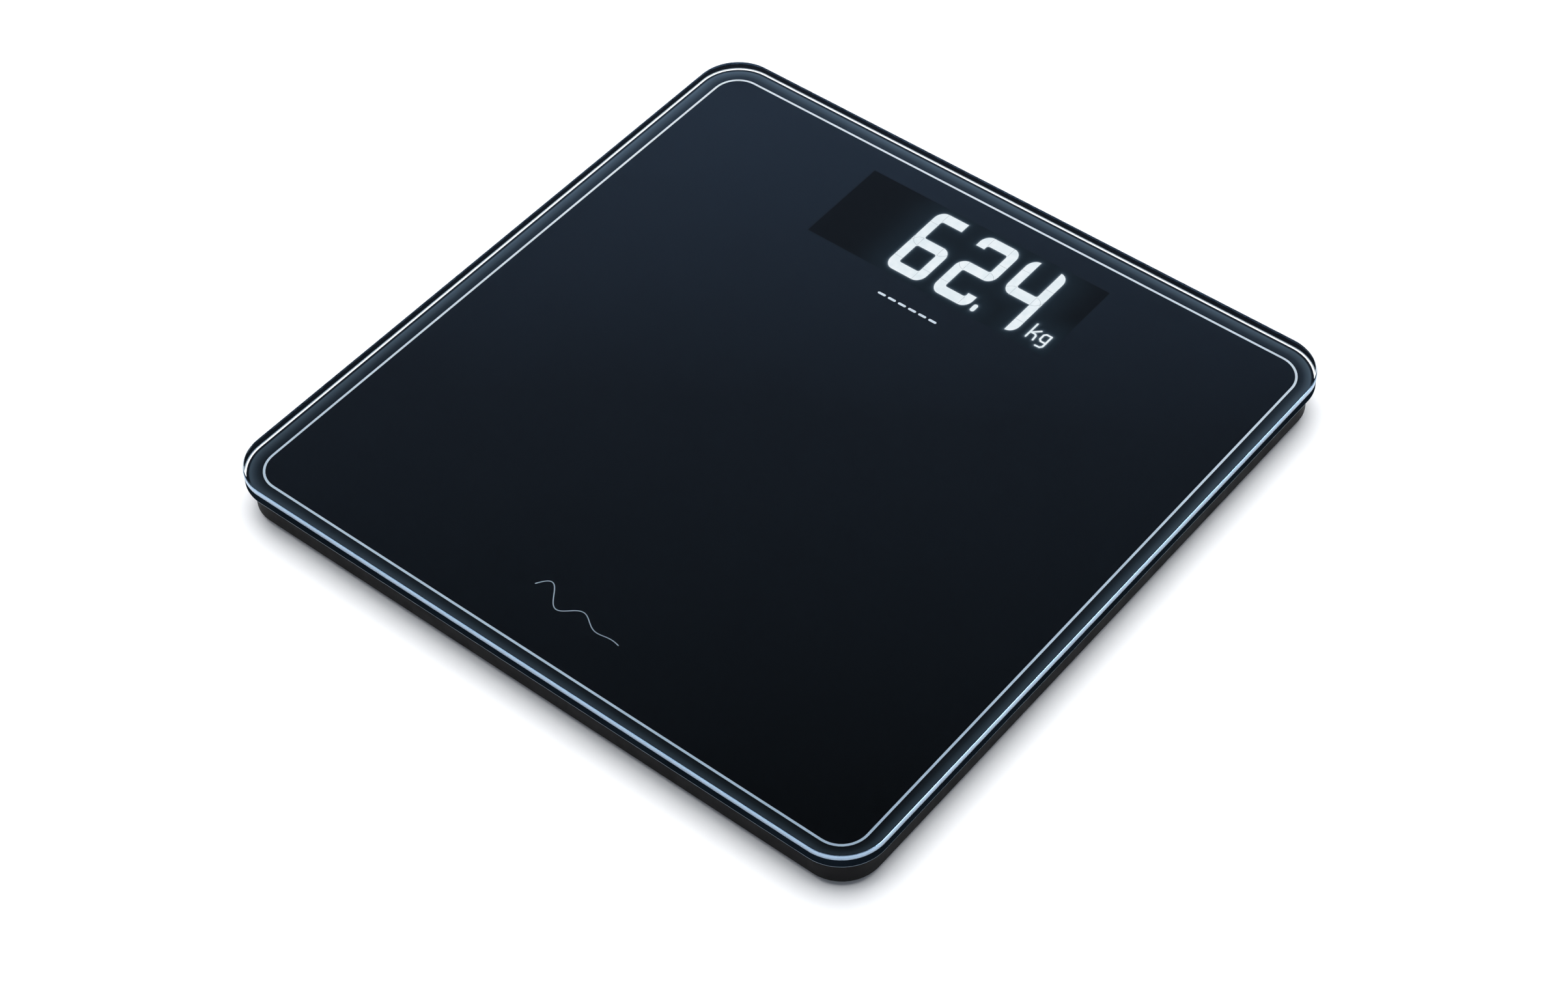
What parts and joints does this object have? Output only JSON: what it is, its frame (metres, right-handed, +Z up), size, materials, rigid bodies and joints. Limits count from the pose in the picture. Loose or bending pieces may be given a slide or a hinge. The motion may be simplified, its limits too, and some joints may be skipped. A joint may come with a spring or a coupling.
{
  "type": "digital bathroom scale",
  "caption": "Low square bathroom scale: black-backed glass platform with a lit numeral display, on a shallow moulded tray with a weighing foot at each corner and a battery door underneath.",
  "frame": {"origin": "on the floor under the centre of the platform", "axes": "+X to the user's right, +Y away from the user towards the display, +Z up"},
  "size_m": [0.35, 0.35, 0.0264],
  "materials": {
    "clear_glass": "polished",
    "black_print": "gloss",
    "silver_ink": "satin",
    "smoked_film": "gloss",
    "foam_tape": "matt",
    "tray_plastic": "fine texture",
    "door_plastic": "fine texture",
    "foot_plastic": "fine texture",
    "retainer_plastic": "satin",
    "pad_rubber": "matt",
    "load_cell_steel": "stamped",
    "potting": "satin",
    "lead_sheath": "satin",
    "red_wire": "satin",
    "black_wire": "satin",
    "zinc_screws": "zinc plated",
    "battery_wrap": "satin",
    "nickel_plate": "bright",
    "circuit_board": "solder mask",
    "connector_plastic": "satin",
    "chip_package": "matt",
    "component_body": "satin",
    "lit_segment": "glowing white",
    "dark_segment": "unlit",
    "led_package": "satin",
    "display_black": "matt",
    "ribbon_film": "satin"
  },
  "bodies": {
    "platform": {"glass_platform": "clear_glass", "back_print": "black_print", "silver_line": "silver_ink", "window_film": "smoked_film", "bonding_tape": "foam_tape", "pillar_tape": "foam_tape", "base_tray": "tray_plastic", "load_cell_front_left": "load_cell_steel", "strain_gauge_front_left": "potting", "cell_retainer_front_left": "retainer_plastic", "cell_lead_front_left": "lead_sheath", "load_cell_front_right": "load_cell_steel", "strain_gauge_front_right": "potting", "cell_retainer_front_right": "retainer_plastic", "cell_lead_front_right": "lead_sheath", "load_cell_rear_left": "load_cell_steel", "strain_gauge_rear_left": "potting", "cell_retainer_rear_left": "retainer_plastic", "cell_lead_rear_left": "lead_sheath", "load_cell_rear_right": "load_cell_steel", "strain_gauge_rear_right": "potting", "cell_retainer_rear_right": "retainer_plastic", "cell_lead_rear_right": "lead_sheath", "retainer_screws": "zinc_screws", "board_screws": "zinc_screws", "display_screws": "zinc_screws", "battery_lead_positive": "red_wire", "battery_lead_negative": "black_wire", "battery_1": "battery_wrap", "battery_2": "battery_wrap", "battery_3": "battery_wrap", "battery_contacts": "nickel_plate", "battery_springs": "nickel_plate", "main_board": "circuit_board", "display_board": "circuit_board", "lead_connectors": "connector_plastic", "controller_chip": "chip_package", "chip_legs": "nickel_plate", "board_components": "component_body", "unit_switch": "component_body", "lit_segments": "lit_segment", "dark_segments": "dark_segment", "display_leds": "led_package", "display_housing": "display_black", "display_gasket": "foam_tape", "display_ribbon": "ribbon_film"},
    "foot_front_left": {"foot_front_left": "foot_plastic", "foot_pad_front_left": "pad_rubber"},
    "foot_front_right": {"foot_front_right": "foot_plastic", "foot_pad_front_right": "pad_rubber"},
    "foot_rear_left": {"foot_rear_left": "foot_plastic", "foot_pad_rear_left": "pad_rubber"},
    "foot_rear_right": {"foot_rear_right": "foot_plastic", "foot_pad_rear_right": "pad_rubber"},
    "battery_door": {"battery_door": "door_plastic"},
    "unit_button": {"unit_button": "door_plastic"}
  },
  "joints": [
    {"name": "foot_front_left_slide", "type": "slide", "parent": "platform", "child": "foot_front_left", "axis": [0, 0, 1], "range_m": [-0.0006, 0]},
    {"name": "foot_front_right_slide", "type": "slide", "parent": "platform", "child": "foot_front_right", "axis": [0, 0, 1], "range_m": [-0.0006, 0]},
    {"name": "foot_rear_left_slide", "type": "slide", "parent": "platform", "child": "foot_rear_left", "axis": [0, 0, 1], "range_m": [-0.0006, 0]},
    {"name": "foot_rear_right_slide", "type": "slide", "parent": "platform", "child": "foot_rear_right", "axis": [0, 0, 1], "range_m": [-0.0006, 0]},
    {"name": "battery_door_hinge", "type": "hinge", "parent": "platform", "child": "battery_door", "pos_m": [0, -0.00825, 0.003], "axis": [-1, 0, 0], "range_deg": [0, 80]},
    {"name": "unit_button_slide", "type": "slide", "parent": "platform", "child": "unit_button", "axis": [0, 0, 1], "range_m": [0, 0.0005], "stiffness_N_per_m": 1500, "springref_m": -0.0002}
  ]
}
